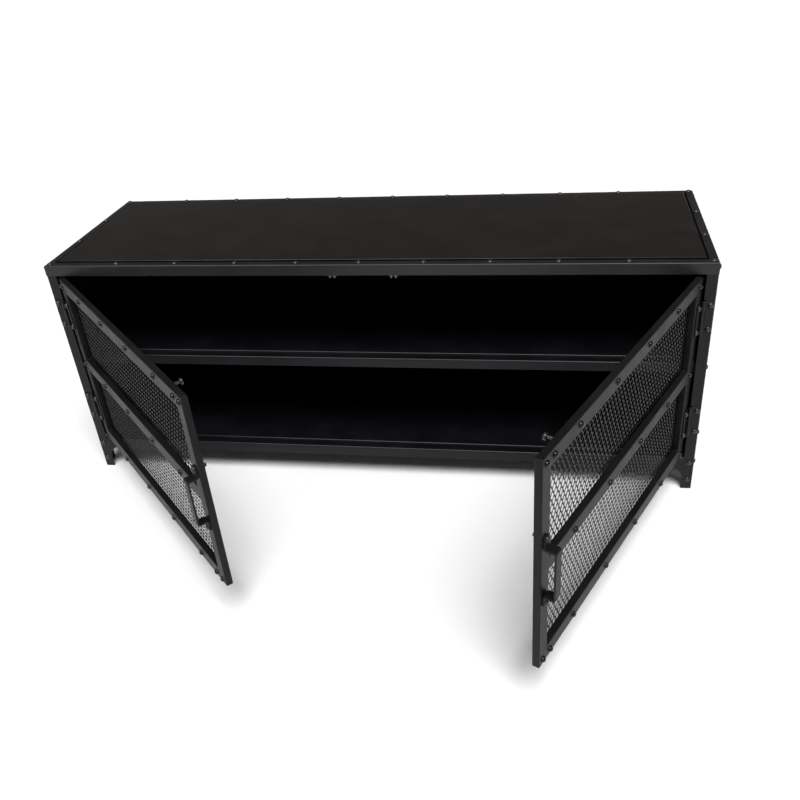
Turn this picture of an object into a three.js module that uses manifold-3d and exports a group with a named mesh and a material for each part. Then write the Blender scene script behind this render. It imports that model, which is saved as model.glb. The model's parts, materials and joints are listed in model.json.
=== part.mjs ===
// TV cabinet in black powder-coated steel: an angle-iron carcass with riveted flanges, sheet
// panels, one middle shelf, and two hinged doors of rectangular tube filled with expanded metal.
// Units are millimetres. The cabinet is drawn with X across, Y from the front face backwards and
// Z up from the floor, and moved at the end so that the origin is the bottom centre of its box.
import * as THREE from 'three';
import { mergeVertices } from 'three/addons/utils/BufferGeometryUtils.js';
import Module from 'manifold-3d';

const wasm = await Module();
wasm.setup();

// ---------------------------------------------------------------- driving dimensions
// Carcass
const width = 1200;
const depth = 364;
const frameHeight = 458; // floor to the top of the top frame
const angleWall = 2.5; // steel thickness of every angle
const postLeg = 19; // width of each leg of a corner post
const railFace = 20.5; // height of the face of the top and bottom rails
const railFlange = 25; // depth of every rail's flange
const footHeight = 49.5; // floor to the lower edge of the bottom rails
const footArc = 27; // radius of the web between foot and bottom rail
const sheet = 1.5; // side and back panels

// Panels that lie on the frames
const panelThickness = 2.5;
const panelFrontMargin = 19.5; // strip of flange left bare in front of and behind a panel
const panelSideMargin = 19; // strip of flange left bare beside the top panel

// Middle shelf
const shelfHeight = 263.5; // floor to the top of the shelf frame
const shelfRailFace = 19;
const shelfClearance = 1.6; // between a closed door's mesh and the shelf frame

// Doors
const doorSideGap = 2;
const doorCentreGap = 4;
const doorTopGap = 3;
const doorBottomGap = 9;
const tubeWidth = 24;
const tubeDepth = 11.5;
const tubeWall = 1.5;
const meshThickness = 1.2;
const meshLap = 6; // how far the mesh sheet laps onto the tubes
const meshRim = 8; // plain border of the mesh sheet
const meshOpeningsAcross = 12; // diamonds in a row, drawn coarser than the real ones
const meshOpeningsUp = 3.5; // diamonds from the lower border to the upper
const meshStrand = 7.2; // width of the bars between the diamonds
const leftDoorDegrees = 44.9; // how far each door stands open
const rightDoorDegrees = 64.7;

// Hinges
const hingeHeight = 58;
const hingeLeafWidth = 18; // from the pin's axis to the leaf's edge
const hingeLeafThickness = 2;
const hingeAxisProud = 4.6; // pin axis ahead of the front face
const knuckleRadius = 3.4;
const knuckleMiddle = 22; // length of the door leaf's knuckle
const pinRadius = 1.7;
const pinHead = 2.6; // radius of the pin's button ends
const pinHeadHeight = 1.2;
const hingeRivetPitch = 44;
const hingeRivetOffset = 12.5; // from the pin's axis
const hingeRailGap = 21; // between a hinge's end and the door rail beyond it

// Handles
const strapWidth = 16;
const strapThickness = 3;
const strapBend = 4; // outer radius of the bends
const gripHeight = 84; // over the outside of the two arms
const gripStandoff = 19; // face of the stile to the outside of the grip
const earLength = 22;
const handleDrop = 4; // handle's middle below the door's middle
const handleRivetPitch = 109;
const boltRadius = 3;
const boltTail = 3; // length beyond the nut
const nutWidth = 8;
const nutHeight = 2.5;

// Strike studs and magnetic catches
const strikeFromEdge = 54; // from the door's free edge
const strikeFromTop = 5.5; // below the door's top edge
const strikeStemRadius = 2.2;
const strikeStemLength = 9;
const strikeHeadRadius = 5;
const strikeHeadHeight = 5;
const strikeHeadRound = 1.2; // chamfer at both ends of the head
const poleGap = 0.3; // between a closed strike's head and the poles
const poleWidth = 4.2;
const poleSpacing = 8.2; // centre to centre
const poleProud = 2; // ahead of the magnet's case
const poleDrop = 8; // poles' lower end below the strike's axis
const magnetWidth = 20;
const magnetDepth = 12;
const magnetHeight = 15;
const catchPlate = 2; // thickness of the folded bracket
const catchTab = 14; // lap of the bracket's tab under the rail's flange

// Rivet heads
const frameRivet = { radius: 5, height: 3.4 };
const doorRivet = { radius: 5, height: 4.2 };
const hingeRivet = { radius: 4.3, height: 3 };
const flangeRivetSpaces = 8;
const flangeRivetPitch = 114.4;
const rivetEdge = 9; // rivet centre to the outer face
const sideRivetSpaces = 3;
const doorRivetPitch = 118.7;
const doorRivetDrop = 3.5; // the lower two rails' rivets sit this far below their middles
const doorRivetStart = { // pin's axis to the first rivet of each rail, which is set out by hand
  left: { top: 112, middle: 125, bottom: 128 },
  right: { top: 115, middle: 118, bottom: 112 },
};
const doorRivetsPerRail = 4;
const doorRivetLast = 34; // free edge of the door to the last rivet of the top and bottom rails
const legRivetHeights = [260, 124, 59];
const footRivetHeights = [59, 21];

// Fits
const seatGap = 0.3; // between pieces that rest on each other inside a turned door
const runningGap = 0.3; // pin to bore, knuckle to knuckle
const rivetSink = 0.8; // how far a rivet head's root reaches into its plate
const cutPast = 1; // how far a cut runs past the piece it cuts

// ---------------------------------------------------------------- derived places
const halfWidth = width / 2;
const bottomTop = footHeight + railFace; // top of the bottom frame
const postTop = frameHeight - railFace; // posts stop under the top frame
const flangeUnderside = frameHeight - angleWall;
const insideHalf = halfWidth - angleWall - sheet; // inner face of a side panel
const backInside = depth - angleWall - sheet; // inner face of the back panel
const openingHalf = halfWidth - postLeg; // clear half width between the posts
const shelfSetback = tubeDepth + seatGap + meshThickness + shelfClearance;

const hingeX = openingHalf - doorSideGap / 2;
const doorHingeEdge = doorSideGap / 2; // distances along a door are measured from the pin's axis
const doorFreeEdge = hingeX - doorCentreGap / 2;
const doorBottom = bottomTop + doorBottomGap;
const doorTop = postTop - doorTopGap;
const doorMiddle = (doorBottom + doorTop) / 2;
const hingeInset = tubeWidth + hingeRailGap + hingeHeight / 2; // door's end to a hinge's middle
const hingePlaces = { upper: doorTop - hingeInset, lower: doorBottom + hingeInset };
const handleMiddle = doorMiddle - handleDrop;
const strikeAlong = doorFreeEdge - strikeFromEdge;
const strikeHeight = doorTop - strikeFromTop;

const up = new THREE.Vector3(0, 1, 0); // three.js lathes and cylinders stand along Y
const facing = {
  left: new THREE.Vector3(-1, 0, 0),
  right: new THREE.Vector3(1, 0, 0),
  front: new THREE.Vector3(0, -1, 0),
  back: new THREE.Vector3(0, 1, 0),
  top: new THREE.Vector3(0, 0, 1),
};

// ---------------------------------------------------------------- finishes
const blackPaint = new THREE.MeshStandardMaterial({ color: 0x1c1b1b, roughness: 0.5, metalness: 0.3 });
const blackSheet = new THREE.MeshStandardMaterial({ color: 0x191817, roughness: 0.6, metalness: 0.3 });
const blackMesh = new THREE.MeshStandardMaterial({ color: 0x202020, roughness: 0.55, metalness: 0.4 });
const pinSteel = new THREE.MeshStandardMaterial({ color: 0x2a2a2a, roughness: 0.4, metalness: 0.7 });

// ---------------------------------------------------------------- solid modelling helpers
function toSolid(geometry) {
  const bare = geometry.clone();
  bare.deleteAttribute('normal');
  bare.deleteAttribute('uv');
  const merged = mergeVertices(bare);
  return new wasm.Manifold(new wasm.Mesh({
    numProp: 3,
    vertProperties: new Float32Array(merged.attributes.position.array),
    triVerts: new Uint32Array(merged.index.array),
  }));
}

function joined(solids) {
  return solids.reduce((whole, solid) => whole.add(solid));
}

// A box between two opposite corners, given axis by axis in either order. Every vertex takes its
// corner's own numbers, so boxes that share a plane meet exactly.
function block(x0, x1, y0, y1, z0, z1) {
  const geometry = new THREE.BoxGeometry();
  const vertices = geometry.attributes.position;
  for (let i = 0; i < vertices.count; i++) {
    vertices.setXYZ(
      i,
      vertices.getX(i) < 0 ? Math.min(x0, x1) : Math.max(x0, x1),
      vertices.getY(i) < 0 ? Math.min(y0, y1) : Math.max(y0, y1),
      vertices.getZ(i) < 0 ? Math.min(z0, z1) : Math.max(z0, z1),
    );
  }
  return toSolid(geometry);
}

// Geometry that stands along Y is turned to point along a direction and moved to its place.
function aimed(geometry, direction, x, y, z) {
  geometry.applyQuaternion(new THREE.Quaternion().setFromUnitVectors(up, direction));
  geometry.translate(x, y, z);
  return toSolid(geometry);
}

// A round bar that starts at a place and runs along a direction.
function bar(radius, length, direction, x, y, z, sides = 12) {
  const geometry = new THREE.CylinderGeometry(radius, radius, length, sides);
  geometry.translate(0, length / 2, 0);
  return aimed(geometry, direction, x, y, z);
}

// A domed rivet head standing on a face, with a short root inside the plate.
function rivet(x, y, z, direction, head = frameRivet) {
  const shoulder = Math.PI / 4;
  const profile = [
    new THREE.Vector2(0, -rivetSink),
    new THREE.Vector2(head.radius, -rivetSink),
    new THREE.Vector2(head.radius, 0),
    new THREE.Vector2(head.radius * Math.cos(shoulder), head.height * Math.sin(shoulder)),
    new THREE.Vector2(0, head.height),
  ];
  return aimed(new THREE.LatheGeometry(profile, 8), direction, x, y, z);
}

function piece(name, solid, finish) {
  const { vertProperties, triVerts } = solid.getMesh();
  const geometry = new THREE.BufferGeometry();
  geometry.setAttribute('position', new THREE.BufferAttribute(vertProperties, 3));
  geometry.setIndex(new THREE.BufferAttribute(triVerts, 1));
  geometry.computeVertexNormals();
  const mesh = new THREE.Mesh(geometry, finish.clone());
  mesh.name = name;
  return mesh;
}

// ---------------------------------------------------------------- angle rails
// A rail along X: its face hangs down from the top edge and its flange runs inward. The flange
// stops short of the ends where another rail's leg passes.
function crossRail({ reach, flangeReach = reach, face, inward, top, drop }) {
  const leg = block(-reach, reach, face, face + inward * angleWall, top - drop, top);
  const flange = block(-flangeReach, flangeReach, face, face + inward * railFlange, top - angleWall, top);
  return leg.add(flange);
}

// A rail along Y: the flange is cut back at both ends, where the cross rails' flanges lie.
function sideRail({ face, inward, legFrom, legTo, flangeFrom, flangeTo, top, drop }) {
  const leg = block(face, face + inward * angleWall, legFrom, legTo, top - drop, top);
  const flange = block(face, face + inward * railFlange, flangeFrom, flangeTo, top - angleWall, top);
  return leg.add(flange);
}

// ---------------------------------------------------------------- top frame and top panel
function topCrossRail(face, inward) {
  const solids = [crossRail({
    reach: halfWidth,
    flangeReach: halfWidth - angleWall,
    face,
    inward,
    top: frameHeight,
    drop: railFace,
  })];
  const row = face + inward * rivetEdge;
  const first = -flangeRivetPitch * flangeRivetSpaces / 2;
  for (let i = 0; i <= flangeRivetSpaces; i++) {
    solids.push(rivet(first + i * flangeRivetPitch, row, frameHeight, facing.top));
  }
  for (const side of [-1, 1]) {
    solids.push(rivet(side * (halfWidth - rivetEdge), row, frameHeight, facing.top));
  }
  return joined(solids);
}

function topSideRail(side) {
  const outward = side < 0 ? facing.left : facing.right;
  const solids = [sideRail({
    face: side * halfWidth,
    inward: -side,
    legFrom: angleWall,
    legTo: depth - angleWall,
    flangeFrom: railFlange,
    flangeTo: depth - railFlange,
    top: frameHeight,
    drop: railFace,
  })];
  const span = depth - 2 * rivetEdge;
  for (let i = 1; i < sideRivetSpaces; i++) {
    const y = rivetEdge + span * i / sideRivetSpaces;
    solids.push(rivet(side * (halfWidth - rivetEdge), y, frameHeight, facing.top));
  }
  for (const y of [rivetEdge, depth - rivetEdge]) {
    solids.push(rivet(side * halfWidth, y, frameHeight - railFace / 2, outward));
  }
  return joined(solids);
}

function topPanel() {
  const edge = halfWidth - panelSideMargin;
  const back = depth - panelFrontMargin;
  return block(-edge, edge, panelFrontMargin, back, frameHeight, frameHeight + panelThickness);
}

// ---------------------------------------------------------------- corner posts with feet
// The web under the bottom rail, drawn as distance in from the post's edge against height.
function footWeb(sign) {
  const outline = new THREE.Shape();
  const arcCentre = footHeight - footArc;
  outline.moveTo(-sign * angleWall, arcCentre);
  outline.lineTo(0, arcCentre);
  outline.absarc(sign * footArc, arcCentre, footArc, sign > 0 ? Math.PI : 0, Math.PI / 2, sign > 0);
  outline.lineTo(-sign * angleWall, footHeight);
  const web = { depth: angleWall, bevelEnabled: false, curveSegments: 8 };
  return new THREE.ExtrudeGeometry(outline, web).rotateX(Math.PI / 2);
}

function cornerPost(side, face, inward) {
  const outerX = side * halfWidth;
  const frontLeg = block(outerX, outerX - side * postLeg, face, face + inward * angleWall, 0, postTop);
  const sideLeg = block(outerX, outerX - side * angleWall, face, face + inward * postLeg, 0, postTop);

  const frontWeb = footWeb(-side);
  frontWeb.translate(outerX - side * postLeg, inward > 0 ? face + angleWall : face, 0);
  const sideWeb = footWeb(inward);
  sideWeb.rotateZ(Math.PI / 2);
  sideWeb.translate(side > 0 ? outerX - angleWall : outerX, face + inward * postLeg, 0);

  const solids = [frontLeg, sideLeg, toSolid(frontWeb), toSolid(sideWeb)];
  const outward = side < 0 ? facing.left : facing.right;
  for (const z of legRivetHeights) {
    solids.push(rivet(outerX, face + inward * rivetEdge, z, outward));
  }
  const ahead = inward > 0 ? facing.front : facing.back;
  for (const z of footRivetHeights) {
    solids.push(rivet(outerX - side * rivetEdge, face, z, ahead));
  }
  return joined(solids);
}

// ---------------------------------------------------------------- middle shelf
function shelfCrossRail(face, inward) {
  return crossRail({ reach: insideHalf, face, inward, top: shelfHeight, drop: shelfRailFace });
}

function shelfSideRail(side) {
  const from = shelfSetback + railFlange;
  const to = backInside - railFlange;
  return sideRail({
    face: side * insideHalf,
    inward: -side,
    legFrom: from,
    legTo: to,
    flangeFrom: from,
    flangeTo: to,
    top: shelfHeight,
    drop: shelfRailFace,
  });
}

function shelfPanel() {
  const front = shelfSetback + panelFrontMargin;
  return block(-insideHalf, insideHalf, front, backInside, shelfHeight, shelfHeight + panelThickness);
}

// ---------------------------------------------------------------- bottom shelf
function bottomCrossRail(face, inward) {
  return crossRail({ reach: openingHalf, face, inward, top: bottomTop, drop: railFace });
}

function bottomSideRail(side) {
  return sideRail({
    face: side * halfWidth,
    inward: -side,
    legFrom: postLeg,
    legTo: depth - postLeg,
    flangeFrom: railFlange,
    flangeTo: depth - railFlange,
    top: bottomTop,
    drop: railFace,
  });
}

function bottomPanel() {
  return block(-insideHalf, insideHalf, panelFrontMargin, backInside, bottomTop, bottomTop + panelThickness);
}

// ---------------------------------------------------------------- back and side panels
function backPanel() {
  return block(-insideHalf, insideHalf, backInside, depth - angleWall, bottomTop, flangeUnderside);
}

function sidePanel(side) {
  const outer = side * (halfWidth - angleWall);
  return block(outer, side * insideHalf, angleWall, depth - angleWall, bottomTop, flangeUnderside);
}

// ---------------------------------------------------------------- magnetic catches
// A folded bracket under the top rail's flange carries a magnet case with two pole plates,
// which the closed door's strike meets face to face.
function magneticCatch(side) {
  const centre = side * (hingeX - strikeAlong);
  const poleFront = tubeDepth + seatGap + strikeStemLength + strikeHeadHeight + poleGap;
  const caseFront = poleFront + poleProud;
  const plate = caseFront + magnetDepth;
  const low = strikeHeight - poleDrop;
  const high = low + magnetHeight;
  const from = centre - magnetWidth / 2;
  const to = centre + magnetWidth / 2;
  const solids = [
    block(from, to, railFlange - catchTab, plate + catchPlate, flangeUnderside - catchPlate, flangeUnderside),
    block(from, to, plate, plate + catchPlate, low, flangeUnderside),
    block(from, to, caseFront, plate, low + poleProud, high),
  ];
  for (const hand of [-1, 1]) {
    const x = centre + hand * poleSpacing / 2;
    solids.push(block(x - poleWidth / 2, x + poleWidth / 2, poleFront, plate, low, high));
  }
  return joined(solids);
}

// ---------------------------------------------------------------- hinges
// Hinge pieces are drawn around the pin's axis: leaves reach along X and lie behind the axis.
function knuckle(from, to) {
  const barrel = bar(knuckleRadius, to - from, facing.top, 0, 0, from, 20);
  const bore = bar(pinRadius + runningGap, to - from + 2 * cutPast, facing.top, 0, 0, from - cutPast, 20);
  return { barrel, bore };
}

// The zones of the barrel, from the hinge's middle upwards or downwards.
const knuckleSplit = knuckleMiddle / 2;
const outerKnuckles = [
  [-hingeHeight / 2, -knuckleSplit - runningGap],
  [knuckleSplit + runningGap, hingeHeight / 2],
];
const middleKnuckle = [[-knuckleSplit, knuckleSplit]];

function hingeLeaf(reach, seat, ownKnuckles, otherKnuckles) {
  const faceY = hingeAxisProud - seat;
  const inner = reach * knuckleRadius / 2;
  let leaf = block(inner, reach * hingeLeafWidth, faceY - hingeLeafThickness, faceY,
    -hingeHeight / 2, hingeHeight / 2);
  for (const [from, to] of otherKnuckles) {
    const relief = knuckleRadius + 2 * runningGap;
    leaf = leaf.subtract(block(-relief, relief, -relief, faceY + cutPast,
      from - runningGap, to + runningGap));
  }
  for (const [from, to] of ownKnuckles) {
    const { barrel, bore } = knuckle(from, to);
    leaf = leaf.add(barrel).subtract(bore);
  }
  const rivets = [-1, 1].map((end) => rivet(
    reach * hingeRivetOffset, faceY - hingeLeafThickness, end * hingeRivetPitch / 2, facing.front, hingeRivet,
  ));
  return joined([leaf, ...rivets]);
}

function hingePin() {
  const length = hingeHeight + 2 * runningGap;
  const shaft = bar(pinRadius, length, facing.top, 0, 0, -length / 2);
  const buttons = [
    bar(pinHead, pinHeadHeight, facing.top, 0, 0, length / 2),
    bar(pinHead, pinHeadHeight, facing.top, 0, 0, -length / 2 - pinHeadHeight),
  ];
  return joined([shaft, ...buttons]);
}

// ---------------------------------------------------------------- door pieces
// A door is drawn closed, around its hinge axis. Distances along it run away from the axis,
// towards -X on the right door and +X on the left one. The outer face lies behind the axis.
const doorFace = hingeAxisProud;
const doorBack = doorFace + tubeDepth;

function stile(side, from, to, rivetHeights) {
  const along = (distance) => -side * distance;
  const outer = block(along(from), along(to), doorFace, doorBack, doorBottom, doorTop);
  const hollow = block(along(from + tubeWall), along(to - tubeWall), doorFace + tubeWall, doorBack - tubeWall,
    doorBottom - cutPast, doorTop - tubeWall);
  const middle = along((from + to) / 2);
  const heads = rivetHeights.map((z) => rivet(middle, doorFace, z, facing.front, doorRivet));
  return joined([outer, ...heads]).subtract(hollow);
}

function doorRail(side, centre, rivetPlaces, rivetDrop = 0) {
  const along = (distance) => -side * distance;
  const from = doorHingeEdge + tubeWidth + seatGap;
  const to = doorFreeEdge - tubeWidth - seatGap;
  const low = centre - tubeWidth / 2;
  const high = centre + tubeWidth / 2;
  const outer = block(along(from), along(to), doorFace, doorBack, low, high);
  const hollow = block(along(from - cutPast), along(to + cutPast), doorFace + tubeWall, doorBack - tubeWall,
    low + tubeWall, high - tubeWall);
  const row = centre - rivetDrop;
  const heads = rivetPlaces.map((place) => rivet(along(place), doorFace, row, facing.front, doorRivet));
  return joined([outer, ...heads]).subtract(hollow);
}

// A four-sided bar along Y, a diamond in section.
function diamondBar(halfWide, halfHigh, x, y0, y1, z) {
  const geometry = new THREE.CylinderGeometry(1, 1, y1 - y0, 4);
  geometry.scale(halfWide, 1, halfHigh);
  geometry.translate(x, (y0 + y1) / 2, z);
  return toSolid(geometry);
}

// Expanded metal: staggered diamonds, whose outermost rows and columns the sheet's border halves.
function meshSheet(side) {
  const from = doorHingeEdge + tubeWidth - meshLap;
  const to = doorFreeEdge - tubeWidth + meshLap;
  const low = doorBottom + tubeWidth - meshLap;
  const high = doorTop - tubeWidth + meshLap;
  const front = doorBack + seatGap;
  const back = front + meshThickness;
  const sheetMetal = block(-side * from, -side * to, front, back, low, high);
  const cutFront = front - cutPast;
  const cutBack = back + cutPast;
  const inside = block(-side * (from + meshRim), -side * (to - meshRim), cutFront, cutBack,
    low + meshRim, high - meshRim);

  const pitchAcross = (to - from - 2 * meshRim) / meshOpeningsAcross;
  const pitchUp = (high - low - 2 * meshRim) / meshOpeningsUp;
  const slant = Math.hypot(pitchAcross, pitchUp);
  const openHalfWidth = (pitchAcross - meshStrand * slant / pitchUp) / 2;
  const openHalfHeight = (pitchUp - meshStrand * slant / pitchAcross) / 2;
  const diamonds = [];
  for (let row = 0; row <= 2 * meshOpeningsUp; row++) {
    const stagger = row % 2 ? 0.5 : 0;
    for (let column = 0; column + stagger <= meshOpeningsAcross; column++) {
      const along = from + meshRim + (column + stagger) * pitchAcross;
      const height = low + meshRim + row * pitchUp / 2;
      diamonds.push(diamondBar(openHalfWidth, openHalfHeight, -side * along, cutFront, cutBack, height));
    }
  }
  return sheetMetal.subtract(joined(diamonds).intersect(inside));
}

// The strap's outline seen from the side: two ears on the stile, two arms and the grip.
function strapOutline() {
  const ear = gripHeight / 2 - strapThickness + earLength;
  const arm = gripHeight / 2;
  const inside = arm - strapThickness;
  const inner = strapBend - strapThickness;
  const reach = gripStandoff;
  const outline = new THREE.Shape();
  outline.moveTo(0, -ear);
  outline.lineTo(strapThickness, -ear);
  outline.lineTo(strapThickness, -arm);
  outline.lineTo(reach - strapBend, -arm);
  outline.absarc(reach - strapBend, -arm + strapBend, strapBend, -Math.PI / 2, 0, false);
  outline.absarc(reach - strapBend, arm - strapBend, strapBend, 0, Math.PI / 2, false);
  outline.lineTo(strapThickness, arm);
  outline.lineTo(strapThickness, ear);
  outline.lineTo(0, ear);
  outline.lineTo(0, inside);
  outline.absarc(reach - strapBend, arm - strapBend, inner, Math.PI / 2, 0, true);
  outline.absarc(reach - strapBend, -arm + strapBend, inner, 0, -Math.PI / 2, true);
  outline.lineTo(0, -inside);
  return outline;
}

// Seen from the front the ears end in half rounds.
function handleFrontOutline() {
  const round = strapWidth / 2;
  const end = gripHeight / 2 - strapThickness + earLength - round;
  const outline = new THREE.Shape();
  outline.absarc(0, end, round, 0, Math.PI, false);
  outline.absarc(0, -end, round, Math.PI, 2 * Math.PI, false);
  return outline;
}

function handle(side) {
  const middle = -side * (doorFreeEdge - tubeWidth / 2);
  const seat = doorFace - seatGap;
  const strap = new THREE.ExtrudeGeometry(strapOutline(), {
    depth: strapWidth, bevelEnabled: false, curveSegments: 4,
  });
  // Outline distance runs forward (-Y), outline height runs up, the width runs across.
  strap.rotateX(Math.PI / 2);
  strap.rotateZ(-Math.PI / 2);
  strap.translate(middle + strapWidth / 2, seat, handleMiddle);
  const front = new THREE.ExtrudeGeometry(handleFrontOutline(), {
    depth: gripStandoff + 2 * cutPast, bevelEnabled: false, curveSegments: 6,
  });
  front.rotateX(Math.PI / 2);
  front.translate(middle, seat + cutPast, handleMiddle);
  const heads = [-1, 1].map((end) => rivet(
    middle, seat - strapThickness, handleMiddle + end * handleRivetPitch / 2, facing.front, hingeRivet,
  ));
  return joined([toSolid(strap).intersect(toSolid(front)), ...heads]);
}

// The nut and tail of the bolt that holds the handle's upper ear, behind the stile.
function handleNut(side) {
  const middle = -side * (doorFreeEdge - tubeWidth / 2);
  const height = handleMiddle + handleRivetPitch / 2;
  const back = doorBack + seatGap;
  const nut = bar(nutWidth / Math.sqrt(3), nutHeight, facing.back, middle, back, height, 6);
  return nut.add(bar(boltRadius, nutHeight + boltTail, facing.back, middle, back, height));
}

// The steel stud on the inner face of the top rail that the catch's magnet holds.
function strikeStud(side) {
  const middle = -side * strikeAlong;
  const root = doorBack + seatGap;
  const stem = bar(strikeStemRadius, strikeStemLength + strikeHeadRound, facing.back,
    middle, root, strikeHeight);
  const profile = [
    new THREE.Vector2(0, 0),
    new THREE.Vector2(strikeHeadRadius - strikeHeadRound, 0),
    new THREE.Vector2(strikeHeadRadius, strikeHeadRound),
    new THREE.Vector2(strikeHeadRadius, strikeHeadHeight - strikeHeadRound),
    new THREE.Vector2(strikeHeadRadius - strikeHeadRound, strikeHeadHeight),
    new THREE.Vector2(0, strikeHeadHeight),
  ];
  const head = aimed(new THREE.LatheGeometry(profile, 14), facing.back,
    middle, root + strikeStemLength, strikeHeight);
  return stem.add(head);
}

function door(label, side, openDegrees) {
  const group = new THREE.Group();
  const start = doorRivetStart[label];
  const row = (first) => Array.from({ length: doorRivetsPerRail }, (_, i) => first + i * doorRivetPitch);
  const last = doorFreeEdge - doorRivetLast;
  const lowCentre = doorBottom + tubeWidth / 2;
  const highCentre = doorTop - tubeWidth / 2;
  const lowRivet = lowCentre - doorRivetDrop;
  group.add(
    piece(`${label}_door_hinge_stile`,
      stile(side, doorHingeEdge, doorHingeEdge + tubeWidth, [lowRivet, doorMiddle, highCentre]), blackPaint),
    piece(`${label}_door_free_stile`,
      stile(side, doorFreeEdge - tubeWidth, doorFreeEdge, [lowRivet, highCentre]), blackPaint),
    piece(`${label}_door_top_rail`, doorRail(side, highCentre, [...row(start.top), last]), blackPaint),
    piece(`${label}_door_mid_rail`, doorRail(side, doorMiddle, row(start.middle), doorRivetDrop), blackPaint),
    piece(`${label}_door_bottom_rail`,
      doorRail(side, lowCentre, [...row(start.bottom), last], doorRivetDrop), blackPaint),
    piece(`${label}_door_mesh`, meshSheet(side), blackMesh),
    piece(`${label}_door_handle`, handle(side), blackPaint),
    piece(`${label}_door_handle_nut`, handleNut(side), pinSteel),
    piece(`${label}_door_strike`, strikeStud(side), pinSteel),
  );
  for (const [place, height] of Object.entries(hingePlaces)) {
    const leaf = piece(`${label}_${place}_hinge_door_leaf`,
      hingeLeaf(-side, seatGap, middleKnuckle, outerKnuckles), blackPaint);
    leaf.position.z = height;
    group.add(leaf);
  }
  group.position.set(side * hingeX, -hingeAxisProud, 0);
  group.rotation.z = side * THREE.MathUtils.degToRad(openDegrees);
  return group;
}

// Post leaves and pins stay with the cabinet.
function fixedHingePieces(label, side) {
  const group = new THREE.Group();
  for (const [place, height] of Object.entries(hingePlaces)) {
    const leaf = piece(`${label}_${place}_hinge_post_leaf`,
      hingeLeaf(side, 0, outerKnuckles, middleKnuckle), blackPaint);
    const pin = piece(`${label}_${place}_hinge_pin`, hingePin(), pinSteel);
    leaf.position.z = height;
    pin.position.z = height;
    group.add(leaf, pin);
  }
  group.position.set(side * hingeX, -hingeAxisProud, 0);
  return group;
}

// ---------------------------------------------------------------- assembly
const cabinet = new THREE.Group();
cabinet.add(
  piece('top_panel', topPanel(), blackSheet),
  piece('top_front_rail', topCrossRail(0, 1), blackPaint),
  piece('top_back_rail', topCrossRail(depth, -1), blackPaint),
  piece('top_left_rail', topSideRail(-1), blackPaint),
  piece('top_right_rail', topSideRail(1), blackPaint),
  piece('front_left_post', cornerPost(-1, 0, 1), blackPaint),
  piece('front_right_post', cornerPost(1, 0, 1), blackPaint),
  piece('back_left_post', cornerPost(-1, depth, -1), blackPaint),
  piece('back_right_post', cornerPost(1, depth, -1), blackPaint),
  piece('shelf_panel', shelfPanel(), blackSheet),
  piece('shelf_front_rail', shelfCrossRail(shelfSetback, 1), blackPaint),
  piece('shelf_back_rail', shelfCrossRail(backInside, -1), blackPaint),
  piece('shelf_left_rail', shelfSideRail(-1), blackPaint),
  piece('shelf_right_rail', shelfSideRail(1), blackPaint),
  piece('bottom_panel', bottomPanel(), blackSheet),
  piece('bottom_front_rail', bottomCrossRail(0, 1), blackPaint),
  piece('bottom_back_rail', bottomCrossRail(depth, -1), blackPaint),
  piece('bottom_left_rail', bottomSideRail(-1), blackPaint),
  piece('bottom_right_rail', bottomSideRail(1), blackPaint),
  piece('back_panel', backPanel(), blackSheet),
  piece('left_side_panel', sidePanel(-1), blackSheet),
  piece('right_side_panel', sidePanel(1), blackSheet),
  piece('left_catch', magneticCatch(-1), pinSteel),
  piece('right_catch', magneticCatch(1), pinSteel),
  fixedHingePieces('left', -1),
  fixedHingePieces('right', 1),
  door('left', -1, leftDoorDegrees),
  door('right', 1, rightDoorDegrees),
);

// The origin is the bottom centre of the whole cabinet's box, doors open.
const bounds = new THREE.Box3().setFromObject(cabinet, true);
const centre = bounds.getCenter(new THREE.Vector3());
cabinet.position.set(-centre.x, -centre.y, -bounds.min.z);

export default cabinet;
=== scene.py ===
# TV cabinet in black powder-coated steel: an angle-iron carcass with riveted flanges, sheet panels,
# one middle shelf, and two hinged doors of rectangular tube filled with expanded metal.
# Sizes are millimetres in the cabinet's own frame: X across from its middle, Y back from its front
# face, Z up from the floor. at() turns such a place into the model's metres, and own() turns it back.
import json
import math

import bmesh
import bpy
from mathutils import Matrix, Vector


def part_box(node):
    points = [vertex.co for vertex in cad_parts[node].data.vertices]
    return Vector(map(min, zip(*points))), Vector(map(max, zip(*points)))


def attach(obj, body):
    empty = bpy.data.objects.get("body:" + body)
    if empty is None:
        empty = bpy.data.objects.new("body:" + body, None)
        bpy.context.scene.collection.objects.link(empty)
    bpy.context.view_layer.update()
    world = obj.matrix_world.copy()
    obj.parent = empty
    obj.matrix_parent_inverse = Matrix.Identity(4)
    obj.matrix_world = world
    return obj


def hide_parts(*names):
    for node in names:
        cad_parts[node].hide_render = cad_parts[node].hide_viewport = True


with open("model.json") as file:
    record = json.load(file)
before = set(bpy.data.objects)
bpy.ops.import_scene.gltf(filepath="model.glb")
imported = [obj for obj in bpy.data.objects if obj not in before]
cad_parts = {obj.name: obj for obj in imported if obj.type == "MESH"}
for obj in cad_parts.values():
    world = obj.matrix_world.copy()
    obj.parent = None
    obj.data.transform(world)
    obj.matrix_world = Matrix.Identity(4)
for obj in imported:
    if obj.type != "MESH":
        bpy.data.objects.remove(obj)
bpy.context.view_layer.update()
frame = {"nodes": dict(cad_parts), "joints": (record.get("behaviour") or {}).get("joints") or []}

# ---------------------------------------------------------------- top frame
# Four lengths of folded steel angle, mitred and welded into one ring: a face that hangs down and a
# flange that runs inwards, with domed rivets along the flange. Powder coated satin black.
mm = 0.001
touch = 0.01  # two places closer than this are the same place
facing = 0.9  # a face whose normal reaches this along a direction faces that way
panel_front_margin = 19.5  # bare strip of flange in front of the top panel
cabinet_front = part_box("top_panel")[0].y / mm - panel_front_margin
front_shift = Vector((0, cabinet_front, 0))
half_width = 600
depth = 364
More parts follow.
